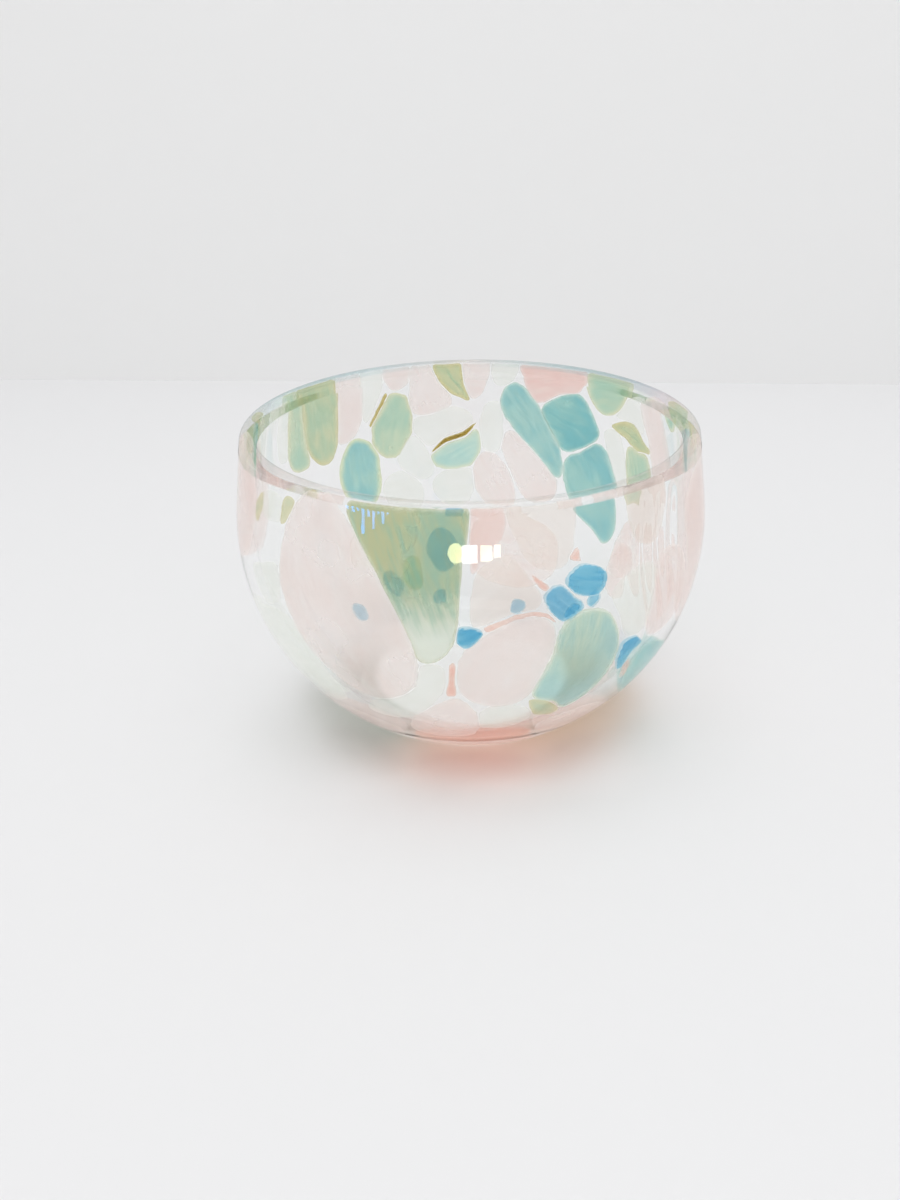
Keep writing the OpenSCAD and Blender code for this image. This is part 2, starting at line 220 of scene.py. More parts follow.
@dataclass(frozen=True)
class ClearGlass:
    """Clear fire-polished glass that bends light.

    Attributes:
        ior: How strongly it bends light.
        ripple: Strength of the fine ripple left by the blowing.
        ripple_height: Height of that ripple.
        ripple_scale: Fineness of that ripple.
        ripple_stretch: How that ripple is drawn out, by axis.
        cool: The faint tint in the glass's streaks.
        streak_scale: Fineness of those streaks.
        streak_stretch: How they are drawn out, by axis.
        belt: Heights between which the belt sets in, and those between which it ends.
        passed: Colours all round of the soft light that enters through the belt, by bearing.
        lip_start: Height above which the glass bends less and less light.
        lip_end: Height above which it bends the least.
        lip_share: Share of light that then goes straight through.
        lip_sides: Places from front to back between which those heights get lower.
        lip_drop: How much lower.
        lip_refraction_tints: Painted refraction: tints by bearing for the chips seen through the lip.
        crown: Heights between which that painted tint and the painted edge shade set in.
        lip_edge_shade: Colour of the painted shade lines along the lip's turned-away edge.
        edge_start: How far the lip has to turn away for those painted shade lines to set in.
        edge_share: How strong they are at most.
        gloss_start: How far the lip has to turn away before its gloss grows.
        gloss: The gloss's share of light, face on and at the edge.
        gloss_blur: How blurred it is.
    """

    ior: float = 1.38
    ripple: float = 0.05
    ripple_height: float = 1 * MM
    ripple_scale: float = 45.0
    ripple_stretch: Point = (1.0, 1.0, 0.45)
    cool: Rgba = (0.985, 0.995, 0.99, 1.0)
    streak_scale: float = 30.0
    streak_stretch: Point = (1.0, 1.0, 0.3)
    belt: tuple[float, float, float, float] = (0.0, 1 * MM, 9 * MM, 19 * MM)
    passed: Stops = (
        (0.0, (255, 255, 255)),
        (0.14, (250, 250, 250)),
        (0.26, (182, 184, 174)),
        (0.38, (176, 178, 166)),
        (0.45, (228, 188, 168)),
        (0.53, (236, 188, 168)),
        (0.62, (214, 178, 150)),
        (0.74, (200, 172, 142)),
        (0.86, (250, 250, 250)),
        (1.0, (255, 255, 255)),
    )
    lip_start: float = 75.9 * MM
    lip_end: float = 76.4 * MM
    lip_share: float = 0.9
    lip_sides: tuple[float, float] = (-46 * MM, -20 * MM)
    lip_drop: float = 2.0 * MM
    # Painted refraction: these tints stand in for the chips' colours that the lip would show bent
    # through it.
    lip_refraction_tints: Stops = (
        (0.0, (248, 246, 245)),
        (0.07, (236, 244, 246)),
        (0.12, (230, 242, 245)),
        (0.20, (232, 243, 246)),
        (0.24, (244, 246, 248)),
        (0.28, (254, 250, 249)),
        (0.40, (254, 252, 251)),
        (0.50, (255, 254, 253)),
        (0.66, (255, 254, 253)),
        (0.76, (254, 250, 250)),
        (0.80, (248, 240, 244)),
        (0.85, (226, 234, 240)),
        (0.92, (226, 240, 242)),
        (1.0, (248, 246, 245)),
    )
    crown: tuple[float, float] = (76.8 * MM, 77.5 * MM)
    # Painted shade: grey lines where the lip turns away, for the dark edges that bending draws.
    lip_edge_shade: Rgb = (210, 214, 218)
    edge_start: float = 0.78
    edge_share: float = 0.7
    gloss_start: float = 0.45
    gloss: tuple[float, float] = (0.025, 0.3)
    gloss_blur: float = 0.02

    def material(self) -> bpy.types.Material:
        """Makes the material."""
        bench = ShaderBench(CLEAR_SLOT)
        place = bench.node("ShaderNodeTexCoord").outputs["Object"]
        waves = bench.grain(bench.stretch(place, self.ripple_stretch), self.ripple_scale, 2.0)
        bump = bench.node(
            "ShaderNodeBump", Strength=self.ripple, Distance=self.ripple_height, Height=waves
        )
        streak = bench.grain(bench.stretch(place, self.streak_stretch), self.streak_scale)
        tint = bench.blend(streak, self.cool, WHITE)
        glass = bench.node(
            "ShaderNodeBsdfPrincipled",
            Base_Color=tint,
            Roughness=0.0,
            IOR=self.ior,
            Transmission_Weight=1.0,
            Normal=bump.outputs["Normal"],
        )
        spot = bench.node("ShaderNodeSeparateXYZ", Vector=place)
        drop = bench.spread(spot.outputs["Y"], *self.lip_sides, 0.0, self.lip_drop)
        raised = bench.maths("ADD", spot.outputs["Z"], drop)
        bend_less = bench.spread(raised, self.lip_start, self.lip_end, 0.0, self.lip_share)
        lip = bench.join(bend_less, glass.outputs[0], self.straight(bench, spot, tint))
        paths = bench.node("ShaderNodeLightPath")
        soft_light = bench.maths(
            "ADD", paths.outputs["Is Shadow Ray"], paths.outputs["Is Diffuse Ray"], clamp=True
        )
        return bench.finish(bench.join(soft_light, lip, self.passing(bench, spot)))

    def straight(
        self, bench: ShaderBench, spot: bpy.types.Node, tint: bpy.types.NodeSocket
    ) -> bpy.types.NodeSocket:
        """Makes the straight-through lip glass, with painted refraction and painted edge shade."""
        crown = bench.spread(spot.outputs["Z"], *self.crown, 0.0, 1.0)
        facing = bench.node("ShaderNodeLayerWeight", Blend=0.5).outputs["Facing"]
        # Painted refraction: the lip's tint by bearing, in place of the chips seen bent through it.
        around = bench.ramp(self.bearing(bench, spot), self.lip_refraction_tints)
        # Painted shade: a grey line in the crown where the lip turns away.
        line = bench.maths(
            "MULTIPLY", crown, bench.spread(facing, self.edge_start, 1.0, 0.0, self.edge_share)
        )
        colour = bench.blend(line, bench.blend(crown, tint, around), shown(*self.lip_edge_shade))
        clear = bench.node("ShaderNodeBsdfTransparent", Color=colour)
        gloss = bench.node("ShaderNodeBsdfGlossy", Roughness=self.gloss_blur)
        share = bench.spread(facing, self.gloss_start, 1.0, *self.gloss)
        return bench.join(share, clear.outputs[0], gloss.outputs[0])

    def passing(self, bench: ShaderBench, spot: bpy.types.Node) -> bpy.types.NodeSocket:
        """Makes what soft light meets, which is dimmed once on its way into the wall's belt."""
        height = spot.outputs["Z"]
        backfacing = bench.node("ShaderNodeNewGeometry").outputs["Backfacing"]
        entering = bench.maths("SUBTRACT", 1.0, backfacing)
        low, low_end, high, high_end = self.belt
        belt = bench.maths(
            "MULTIPLY",
            bench.spread(height, low, low_end, 0.0, 1.0),
            bench.spread(height, high, high_end, 1.0, 0.0),
        )
        passed = bench.ramp(self.bearing(bench, spot), self.passed)
        shade = bench.blend(bench.maths("MULTIPLY", entering, belt), WHITE, passed)
        return bench.node("ShaderNodeBsdfTransparent", Color=shade).outputs[0]

    def bearing(self, bench: ShaderBench, spot: bpy.types.Node) -> bpy.types.NodeSocket:
        """Gives a point's bearing: 0 at the back, a quarter at the left, a half in front."""
        forward = bench.maths("MULTIPLY", spot.outputs["Y"], -1.0)
        turn = bench.maths("ARCTAN2", spot.outputs["X"], forward)
        return bench.maths("MULTIPLY_ADD", turn, 1 / math.tau, 0.5)


@dataclass(frozen=True)
class ChipGlass:
    """Coloured, slightly milky glass of one kind of chip.

    Attributes:
        slot: The record's material slot.
        body: Colour of the milky body.
        deep: Colour of the darker streaks in the body.
        tint: Colour that light takes on when it passes through a face.
        deep_tint: That colour in the darker streaks.
        rim: Colour of the thin rim round the chip.
        rim_tint: Colour that light takes on when it passes through a face of the rim.
        milk: Share of light that the body scatters at each face.
        rim_milk: That share in the rim.
        rim_start: Share of the rim's width at which the body's colour starts.
        rim_end: Share of it at which the body has its full colour.
        rim_drift: How much the rim's width wanders.
        streaks: How much the streaks change the colour.
        line: Strength of the white line along the outline.
        low_body: The body's colour at the chip's lower end, if it differs.
        low_tint: The tint there.
        low_heights: Heights between which that end passes into the rest.
        low_wave: How far that passage swings up and down.
        fibre_scale: Fineness of the streaks along the chip.
        fibre_stretch: How they are drawn out, lengthwise first.
        cloud_scale: Fineness of the cloudy patches.
        mottle: Values of the mixed patterns between which the darker streaks set in.
        patches: Values of that pattern at which a patch is dense, and at which it is clear.
        cloud_milk: How much more or less milky those patches are.
        thin_milk: Share of the milk that the thinnest chip keeps.
        rim_scale: Fineness of the rim's wandering.
        milk_end: Share of the rim's width at which the body's milk is reached.
        line_end: Share of the rim's width at which the white line ends.
        line_colour: Colour of that line.
        line_milk: How milky it is.
    """

    slot: str
    body: Rgb
    deep: Rgb
    tint: Rgb
    deep_tint: Rgb
    rim: Rgb
    rim_tint: Rgb
    milk: float = 0.2
    rim_milk: float = 0.12
    rim_start: float = -0.05
    rim_end: float = 0.24
    rim_drift: float = 0.1
    streaks: float = 0.8
    line: float = 0.25
    low_body: Rgb | None = None
    low_tint: Rgb | None = None
    low_heights: tuple[float, float] = (40 * MM, 55 * MM)
    low_wave: float = 16 * MM
    fibre_scale: float = 2.4
    fibre_stretch: Point = (0.5, 4.0, 1.0)
    cloud_scale: float = 60.0
    mottle: tuple[float, float] = (0.42, 0.58)
    patches: tuple[float, float] = (0.3, 0.7)
    cloud_milk: tuple[float, float] = (1.12, 0.88)
    thin_milk: float = 0.3
    rim_scale: float = 140.0
    milk_end: float = 0.2
    line_end: float = 0.14
    line_colour: Rgba = (0.97, 0.98, 0.97, 1.0)
    line_milk: float = 0.4

    def material(self) -> bpy.types.Material:
        """Makes the material."""
        bench = ShaderBench(self.slot)
        place = bench.node("ShaderNodeTexCoord").outputs["Object"]
        inward = bench.layer(ChipLayer.INWARD)
        strength = bench.layer(ChipLayer.STRENGTH)
        clouds = bench.grain(place, self.cloud_scale)
        body, tint = self.streaked(bench, place, clouds)
        wander = bench.grain(place, self.rim_scale, 2.0)
        drift = bench.maths("MULTIPLY_ADD", wander, self.rim_drift, -self.rim_drift / 2)
        depth = bench.maths("ADD", inward, drift)
        core = bench.spread(depth, self.rim_start, self.rim_end, 0.0, 1.0)
        line = bench.spread(inward, 0.0, self.line_end, self.line, 0.0)
        colour = bench.blend(line, bench.blend(core, shown(*self.rim), body), self.line_colour)
        tint = bench.blend(strength, WHITE, bench.blend(core, shown(*self.rim_tint), tint))
        clear = bench.node("ShaderNodeBsdfTransparent", Color=bench.blend(line, tint, WHITE))
        face = bench.node("ShaderNodeBsdfDiffuse", Color=colour)
        glow = bench.node("ShaderNodeBsdfTranslucent", Color=colour)
        scatter = bench.join(0.5, face.outputs[0], glow.outputs[0])
        milk = bench.maths(
            "MULTIPLY",
            self.milkiness(bench, inward, clouds),
            bench.spread(strength, 0.0, 1.0, self.thin_milk, 1.0),
        )
        milk = bench.maths("MULTIPLY_ADD", line, self.line_milk, milk, clamp=True)
        return bench.finish(bench.join(milk, clear.outputs[0], scatter))

    def streaked(
        self, bench: ShaderBench, place: bpy.types.NodeSocket, clouds: bpy.types.NodeSocket
    ) -> tuple[bpy.types.NodeSocket, bpy.types.NodeSocket]:
        """Gives the body's colour and tint, with the streaks and the lower end's own colour."""
        lay = bench.node("ShaderNodeUVMap")
        lay.uv_map = ChipLayer.LAY
        along = bench.stretch(lay.outputs["UV"], self.fibre_stretch)
        fibres = bench.grain(along, self.fibre_scale, 4.0)
        mottle = bench.maths("MULTIPLY_ADD", fibres, 0.5, bench.maths("MULTIPLY", clouds, 0.5))
        streak = bench.maths("MULTIPLY", bench.spread(mottle, *self.mottle, 0.0, 1.0), self.streaks)
        body = bench.blend(streak, shown(*self.body), shown(*self.deep))
        tint = bench.blend(streak, shown(*self.tint), shown(*self.deep_tint))
        if self.low_body and self.low_tint:
            height = bench.node("ShaderNodeSeparateXYZ", Vector=place).outputs["Z"]
            level = bench.maths("SUBTRACT", height, self.low_wave / 2)
            wavy = bench.maths("MULTIPLY_ADD", fibres, self.low_wave, level)
            low = bench.spread(wavy, *self.low_heights, 1.0, 0.0)
            body = bench.blend(low, body, shown(*self.low_body))
            tint = bench.blend(low, tint, shown(*self.low_tint))
        return body, tint

    def milkiness(
        self, bench: ShaderBench, inward: bpy.types.NodeSocket, clouds: bpy.types.NodeSocket
    ) -> bpy.types.NodeSocket:
        """Gives how much light a full-strength chip scatters: less at its rim and in patches."""
        return bench.maths(
            "MULTIPLY",
            bench.spread(inward, 0.0, self.milk_end, self.rim_milk, self.milk),
            bench.spread(clouds, *self.patches, *self.cloud_milk),
            clamp=True,
        )


class ChipFinish(Enum):
    """The kinds of coloured glass among the chips.

    Each gives its slot, body, deep, tint, deep tint, rim and rim tint, then the body's milk and the
    rim's.
    """

    PINK = ChipGlass(
        "pink_glass", (254, 245, 243), (252, 235, 232), (254, 252, 251), (253, 248, 246),
        (254, 250, 248), (255, 253, 252), 0.24)
    ROSE = ChipGlass(
        "rose_glass", (254, 230, 226), (251, 213, 208), (254, 246, 243), (252, 237, 233),
        (254, 242, 239), (255, 250, 249), 0.24)
    SALMON = ChipGlass(
        "salmon_glass", (255, 221, 210), (253, 204, 191), (255, 241, 236), (254, 232, 225),
        (254, 238, 231), (255, 247, 243), 0.28)
    BEIGE = ChipGlass(
        "beige_glass", (252, 247, 243), (249, 239, 234), (254, 251, 249), (251, 247, 244),
        (252, 248, 245), (254, 252, 250))
    PALE = ChipGlass(
        "pale_glass", (252, 253, 250), (247, 248, 243), (254, 255, 254), (252, 253, 251),
        (252, 253, 250), (255, 255, 254))
    SAGE = ChipGlass(
        "sage_glass", (218, 233, 212), (186, 222, 206), (238, 245, 232), (219, 239, 230),
        (236, 236, 206), (248, 247, 232), 0.26, 0.14, rim_start=0.0, rim_end=0.5, rim_drift=0.3)
    OLIVE = ChipGlass(
        "olive_glass", (224, 226, 192), (178, 211, 188), (240, 242, 222), (213, 234, 218),
        (226, 220, 172), (244, 241, 216), 0.28, 0.16, rim_start=0.0, rim_end=0.5, rim_drift=0.4)
    WEDGE = ChipGlass(
        "olive_glass", (213, 214, 180), (180, 212, 193), (233, 235, 213), (211, 231, 220),
        (226, 228, 204), (245, 246, 236), 0.3, 0.14, rim_end=0.3, rim_drift=0.3, streaks=0.9,
        line=0.2,
        low_body=(241, 246, 236), low_tint=(250, 252, 248), low_heights=(46 * MM, 61 * MM))
    AMBER = ChipGlass(
        "amber_glass", (178, 152, 62), (152, 126, 46), (222, 208, 146), (208, 192, 124),
        (214, 200, 128), (240, 233, 190), 0.5, 0.3, rim_start=0.02, rim_end=0.16, rim_drift=0.0)
    TEAL = ChipGlass(
        "teal_glass", (176, 224, 218), (128, 203, 208), (219, 240, 236), (185, 227, 231),
        (208, 234, 220), (240, 248, 243), 0.28, 0.16, rim_end=0.36, rim_drift=0.3)
    SOFT_TEAL = ChipGlass(
        "teal_glass", (184, 226, 214), (142, 209, 212), (222, 241, 236), (194, 231, 234),
        (234, 240, 200), (248, 250, 232), 0.28, 0.14, rim_start=0.02, rim_end=0.62, rim_drift=0.3,
        line=0.2)
    CRESCENT = ChipGlass(
        "teal_glass", (212, 232, 208), (176, 218, 212), (236, 245, 234), (214, 238, 235),
        (232, 240, 216), (248, 251, 240), 0.26, 0.14, rim_start=0.0, rim_end=0.4, rim_drift=0.4,
        streaks=1.0, line=0.5,
        low_body=(176, 222, 220), low_tint=(218, 240, 239), low_heights=(26 * MM, 45 * MM))
    AQUA = ChipGlass(
        "aqua_glass", (208, 239, 228), (178, 223, 220), (233, 247, 240), (215, 240, 236),
        (230, 236, 208), (246, 249, 234), 0.26, 0.14, rim_start=0.0, rim_end=0.5, rim_drift=0.3)
    BLUE = ChipGlass(
        "blue_glass", (134, 212, 236), (74, 184, 222), (200, 234, 246), (154, 214, 237),
        (186, 228, 242), (232, 245, 250), 0.3, 0.2, line=0.8)

    @classmethod
    def of_slot(cls, slot: str) -> "ChipFinish":
        """Finds the finish of a material slot."""
        return next(one for one in cls if one.value.slot == slot)


@dataclass
class BlownWall:
    """The one clear gather of glass: outside, rounded lip, inside and flat base.

    Attributes:
        diameter: Widest diameter.
        height: Height to the top of the lip.
        belly: Height of the widest point.
        lean: Angle by which the wall under the lip leans in.
        foot_curve: Radius of the turn into the base.
        wall: Thickness of the wall.
        base: Thickness of the glass under the floor.
        floor_curve: Radius of the turn into the inside floor.
        lip_pieces: Pieces of the lip's half circle.
        sway: How far the inside waves inward.
        sway_scale: Fineness of that wave, by axis.
        sway_end: Distance under the top at which it has died away, and over which it does so.
        folds: Upright folds inside: bearing from the front and half width in degrees, and depth.
        fold_heights: Height at which the folds set in, and that at which they end.
        fold_wander: Degrees that they swing, pace of that by height, and degrees that they lean.
        fold_ends: How softly they set in and end.
        rounds: Points round the bowl.
        step: Distance of points along the profile.
    """

    diameter: float = 120 * MM
    height: float = 78.5 * MM
    belly: float = 53 * MM
    lean: float = math.radians(7)
    foot_curve: float = 14 * MM
    wall: float = 4.4 * MM
    base: float = 7 * MM
    floor_curve: float = 17 * MM
    lip_pieces: int = 14
    sway: float = 0.4 * MM
    sway_scale: Point = (38.0, 38.0, 22.0)
    sway_end: tuple[float, float] = (3 * MM, 12 * MM)
    folds: tuple[tuple[float, float, float], ...] = (
        (43.0, 1.8, 0.28 * MM),
        (48.0, 1.6, 0.4 * MM),
        (53.0, 2.0, 0.36 * MM),
        (58.0, 1.8, 0.28 * MM),
    )
    fold_heights: tuple[float, float] = (36 * MM, 73 * MM)
    fold_wander: tuple[float, float, float] = (2.0, 140.0, 3.0)
    fold_ends: float = 0.7
    rounds: int = 384
    step: float = 1.0 * MM

    def side(self, inset: float, floor: float, turn: float) -> Outline:
        """Follows one face of the wall from the floor's edge up to the lip.

        Args:
            inset: How far the face lies inside the outside.
            floor: Height of its flat floor.
            turn: Radius of the turn from the floor into the face.

        Returns:
            Points of radius and height, from the floor up.
        """
        bubble = self.diameter / 2 - inset
        turn_z = floor + turn
        turn_r = math.sqrt((bubble - turn) ** 2 - (self.belly - turn_z) ** 2)
        meet = math.atan2(turn_z - self.belly, turn_r)
        lip_r = self.diameter / 2 - self.wall / 2
        lip_z = self.height - self.wall / 2
        run = (lip_z - self.belly - lip_r * math.sin(self.lean)) / math.cos(self.lean)
        top_r = bubble * math.cos(self.lean) - run * math.sin(self.lean)
        top_z = self.belly + bubble * math.sin(self.lean) + run * math.cos(self.lean)
        points = self.arc((turn_r, turn_z), turn, -math.pi / 2, meet)
        points += self.arc((0.0, self.belly), bubble, meet, self.lean)[1:]
        count = max(2, round(run / self.step))
        last = points[-1]
        points += [
            (last[0] + (top_r - last[0]) * i / count, last[1] + (top_z - last[1]) * i / count)
            for i in range(1, count + 1)
        ]
        return points

    def arc(
        self, centre: tuple[float, float], radius: float, start: float, end: float, least: int = 6
    ) -> Outline:
        """Spaces points along an arc, both ends among them, in at least `least` pieces."""
        count = max(least, round(abs(end - start) * radius / self.step))
        return [
            (
                centre[0] + radius * math.cos(start + (end - start) * i / count),
                centre[1] + radius * math.sin(start + (end - start) * i / count),
            )
            for i in range(count + 1)
        ]

    def flat(self, radius: float, height: float) -> Outline:
        """Spaces points from near the axis out to a radius at one height."""
        count = round(radius / (2 * self.step))
        return [(radius * i / count, height) for i in range(1, count)]

    def profile(self) -> tuple[Outline, int]:
        """Follows the cut of the wall, from the middle of the base over the lip to the floor.

        Returns:
            Points of radius and height, and the index of the first one on the inside.
        """
        outside = self.side(0.0, 0.0, self.foot_curve)
        inside = self.side(self.wall, self.base, self.floor_curve)
        high, low = outside[-1], inside[-1]
        centre = ((high[0] + low[0]) / 2, (high[1] + low[1]) / 2)
        lip = self.arc(centre, self.wall / 2, self.lean, self.lean + math.pi, self.lip_pieces)[1:-1]
        first = self.flat(outside[0][0], 0.0) + outside + lip
        second = list(reversed(inside)) + list(reversed(self.flat(inside[0][0], self.base)))
        return first + second, len(first)

    def build(self) -> bpy.types.Object:
        """Turns the cut round the axis and lets the inside wave as blown glass does."""
        cut, inner = self.profile()
        mesh = bmesh.new()
        rings = []
        for index, (radius, height) in enumerate(cut):
            ring = []
            for turn in range(self.rounds):
                angle = math.tau * turn / self.rounds
                way = Vector((math.cos(angle), math.sin(angle), 0.0))
                point = way * radius + Vector((0.0, 0.0, height))
                if index >= inner:
                    point += self.wave(point, way, height)
                ring.append(mesh.verts.new(point))
            rings.append(ring)
        bottom = mesh.verts.new((0.0, 0.0, 0.0))
        floor = mesh.verts.new((0.0, 0.0, self.base))
        for low, high in zip(rings, rings[1:]):
            for turn in range(self.rounds):
                after = (turn + 1) % self.rounds
                mesh.faces.new((low[turn], low[after], high[after], high[turn]))
        for turn in range(self.rounds):
            after = (turn + 1) % self.rounds
            mesh.faces.new((bottom, rings[0][after], rings[0][turn]))
            mesh.faces.new((floor, rings[-1][turn], rings[-1][after]))
        for face in mesh.faces:
            face.smooth = True
        data = bpy.data.meshes.new("clear_wall")
        mesh.to_mesh(data)
        mesh.free()
        return put("clear_wall", data)

    def wave(self, point: Vector, way: Vector, height: float) -> Vector:
        """Gives how far the inside moves at a point: it thickens the wall and never thins it."""
        swell = 0.5 + 0.5 * noise.noise(point * Vector(self.sway_scale))
        still, over = self.sway_end
        fade = min(1.0, max(0.0, (self.height - still - height) / over))
        return -way * (swell * self.sway * fade + self.fold(way, height))

    def fold(self, way: Vector, height: float) -> float:
        """Gives how deep the upright folds are in a direction from the axis, at a height."""
        low, high = self.fold_heights
        share = (height - low) / (high - low)
        if not 0.0 < share < 1.0:
            return 0.0
        swing, pace, lean = self.fold_wander
        bearing = math.degrees(math.atan2(way.x, -way.y))
        bearing += swing * math.sin(height * pace) + lean * share
        depth = sum(
            deep * math.exp(-(((bearing - at) / half) ** 2)) for at, half, deep in self.folds
        )
        return depth * math.sin(math.pi * share) ** self.fold_ends

    def dress(self, made: bpy.types.Object) -> None:
        """Gives the wall its clear glass and lets it stand for the solid."""
        made.data.materials.append(ClearGlass().material())
        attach(made, "root")
        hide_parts(CLEAR_NODE)


@dataclass
class ChipLayer:
    """The coloured chips, which lie just under the outside of the wall.

    LAY, INWARD and STRENGTH name what a chip's mesh carries: the coordinates along it, how far in
    from its outline a point lies, and how much of its glass's full colour it shows.

    Attributes:
        weld: Distance under which a solid's points are one.
        grid: Size of the grid that the chips' solids are worked into smooth pebbles on.
        cover: Clear glass over the chips.
        soften: Rounds of smoothing.
        soften_share: How far each round takes a point to its neighbours' middle.
        swell: How far the sides swell back out after the smoothing.
        seam: Width of clear glass that neighbouring chips close in to.
        reach: Widths of clear glass at which they start to close in, and at which they do so fully.
        stretch: How far a side closes in at most.
        aside: How squarely a point has to face along the wall to close in.
        upturn: Most rise over run of the direction out of the wall, as its upper part is upright.
        outline: How squarely a point faces out of the wall, where the outline ends.
        rim_width: Distance from the outline at which a chip's rim ends.
        rise: How far the chips' ends under the lip melt up into it.
        rise_heights: Heights between which that sets in.
        lay_unit: Length of one unit of the coordinates along a chip.
        swells: The swell of the pieces that differ.
        thin: How much of their glass's full colour the thinner chips show.
        own: The finish of the chips that differ from their kind.
        finishes: The glasses made so far.
    """

    LAY = "lay"
    INWARD = "inward"
    STRENGTH = "strength"

    weld: float = 0.002 * MM
    grid: float = 0.55 * MM
    cover: float = 0.12 * MM
    soften: int = 3
    soften_share: float = 0.5
    swell: float = 0.3 * MM
    seam: float = 0.35 * MM
    reach: tuple[float, float] = (2.4 * MM, 1.3 * MM)
    stretch: float = 0.45 * MM
    aside: float = 0.3
    upturn: float = 0.12
    outline: float = 0.55
    rim_width: float = 3.0 * MM
    rise: float = 0.8 * MM
    rise_heights: tuple[float, float] = (71.0 * MM, 76.0 * MM)
    lay_unit: float = 10 * MM
    swells: dict[str, float] = field(default_factory=lambda: {
        "amber_threads": -0.35 * MM,
        "salmon_slivers": -0.15 * MM,
    })
    own: dict[str, ChipFinish] = field(default_factory=lambda: {
        "olive_front_wedge": ChipFinish.WEDGE,
        "teal_back_left": ChipFinish.SOFT_TEAL,
        "teal_front_crescent": ChipFinish.CRESCENT,
    })
    thin: dict[str, float] = field(default_factory=lambda: {
        "teal_front_crescent": 0.7,
        "teal_right_lower": 0.45,
        "blue_front_middle": 0.7,
        "teal_back_left": 0.85,
        "teal_back_capsule": 0.78,
        "teal_back_lower": 0.88,
        "aqua_back_half_moon": 0.75,
        "olive_back_left": 0.85,
        "rose_front_rim": 0.6,
        "pink_front_lower": 0.8,
        "beige_front_rim": 0.7,
        "beige_front_middle": 0.7,
        "salmon_base_front": 0.6,
        "olive_slivers": 0.65,
        "blue_back_spots": 0.7,
    })
    finishes: dict[ChipFinish, bpy.types.Material] = field(default_factory=dict)

    def build(
        self, solid: bpy.types.Object, slot: str, others: list[bpy.types.Object]
    ) -> bpy.types.Object:
        """Works one solid into smooth fire-polished glass that stands for it."""
        chip = put(solid.name + "_melted", solid.data.copy())
        self.melt(chip)
        swell = self.swells.get(solid.name, self.swell)
        facing, outward = self.spread(chip.data, swell, self.around(solid, others))
        self.mark(chip.data, facing, outward, self.thin.get(solid.name, 1.0))
        self.dress(chip, solid, slot)
        return chip

    def melt(self, chip: bpy.types.Object) -> None:
        """Rounds a solid off as hot glass does, and sinks it under its thin clear cover."""
        work = bmesh.new()
        work.from_mesh(chip.data)
        bmesh.ops.remove_doubles(work, verts=work.verts, dist=self.weld)
        work.to_mesh(chip.data)
        work.free()
        remesh = chip.modifiers.new("melt", "REMESH")
        remesh.mode = "VOXEL"
        remesh.voxel_size = self.grid
        smooth = chip.modifiers.new("soften", "SMOOTH")
        smooth.iterations = self.soften
        smooth.factor = self.soften_share
        sink = chip.modifiers.new("sink", "DISPLACE")
        sink.mid_level = 0.0
        sink.strength = -self.cover
        shape = bpy.context.evaluated_depsgraph_get()
        worked = bpy.data.meshes.new_from_object(chip.evaluated_get(shape))
        chip.modifiers.clear()
        chip.data = worked
        worked.materials.clear()

    def around(self, solid: bpy.types.Object, others: list[bpy.types.Object]) -> BVHTree:
        """Gathers the faces of the chips close to one chip, to find the nearest among them."""
        points: list[Vector] = []
        faces: list[list[int]] = []
        margin = self.reach[0] + self.grid
        low, high = self.box(solid)
        for other in others:
            other_low, other_high = self.box(other)
            if (other_low > high + margin).any() or (other_high < low - margin).any():
                continue
            first = len(points)
            points += [vertex.co for vertex in other.data.vertices]
            faces += [[first + corner for corner in face.vertices] for face in other.data.polygons]
        return BVHTree.FromPolygons(points, faces)

    def box(self, solid: bpy.types.Object) -> tuple[np.ndarray, np.ndarray]:
        """Gives a solid's lowest and highest corner."""
        spots = np.array([vertex.co for vertex in solid.data.vertices])
        return spots.min(0), spots.max(0)

    def spread(
        self, data: bpy.types.Mesh, swell: float, near: BVHTree
    ) -> tuple[np.ndarray, np.ndarray]:
        """Moves a chip's sides outward along the wall, and further where another chip lies close.

        Returns:
            For each point, the direction that it faces and the direction out of the wall.
        """
        spots = read(data.vertices, "co", 3)
        facing = read(data.vertices, "normal", 3)
        outward = spots - np.array([0.0, 0.0, BlownWall.belly], np.float32)
        level = np.linalg.norm(outward[:, :2], axis=1)
        outward[:, 2] = np.minimum(outward[:, 2], self.upturn * level)
        outward /= np.linalg.norm(outward, axis=1)[:, None]
        sideways = facing - (facing * outward).sum(1)[:, None] * outward
        move = swell * sideways
        start, full = self.reach
        for index in np.nonzero(np.linalg.norm(sideways, axis=1) > self.aside)[0]:
            gap = near.find_nearest(Vector(spots[index] + move[index]), start)[3]
            if gap is not None:
                share = min(1.0, (start - gap) / (start - full))
                room = max(0.0, (gap - self.seam) / 2)
                move[index] += share * min(self.stretch, room) * sideways[index]
        spots += self.even(move, read(data.edges, "vertices", 2, np.int32))
        low, high = self.rise_heights
        spots[:, 2] += self.rise * np.clip((spots[:, 2] - low) / (high - low), 0.0, 1.0) ** 2
        data.vertices.foreach_set("co", spots.ravel())
        return facing, outward

    def even(self, move: np.ndarray, ends: np.ndarray, rounds: int = 5) -> np.ndarray:
        """Evens out how far the points at the ends of each edge move, over some rounds."""
        links = np.bincount(ends.ravel(), minlength=len(move)).clip(1)[:, None]
        for _ in range(rounds):
            total = np.zeros_like(move)
            np.add.at(total, ends[:, 0], move[ends[:, 1]])
            np.add.at(total, ends[:, 1], move[ends[:, 0]])
            move = 0.5 * move + 0.5 * total / links
        return move

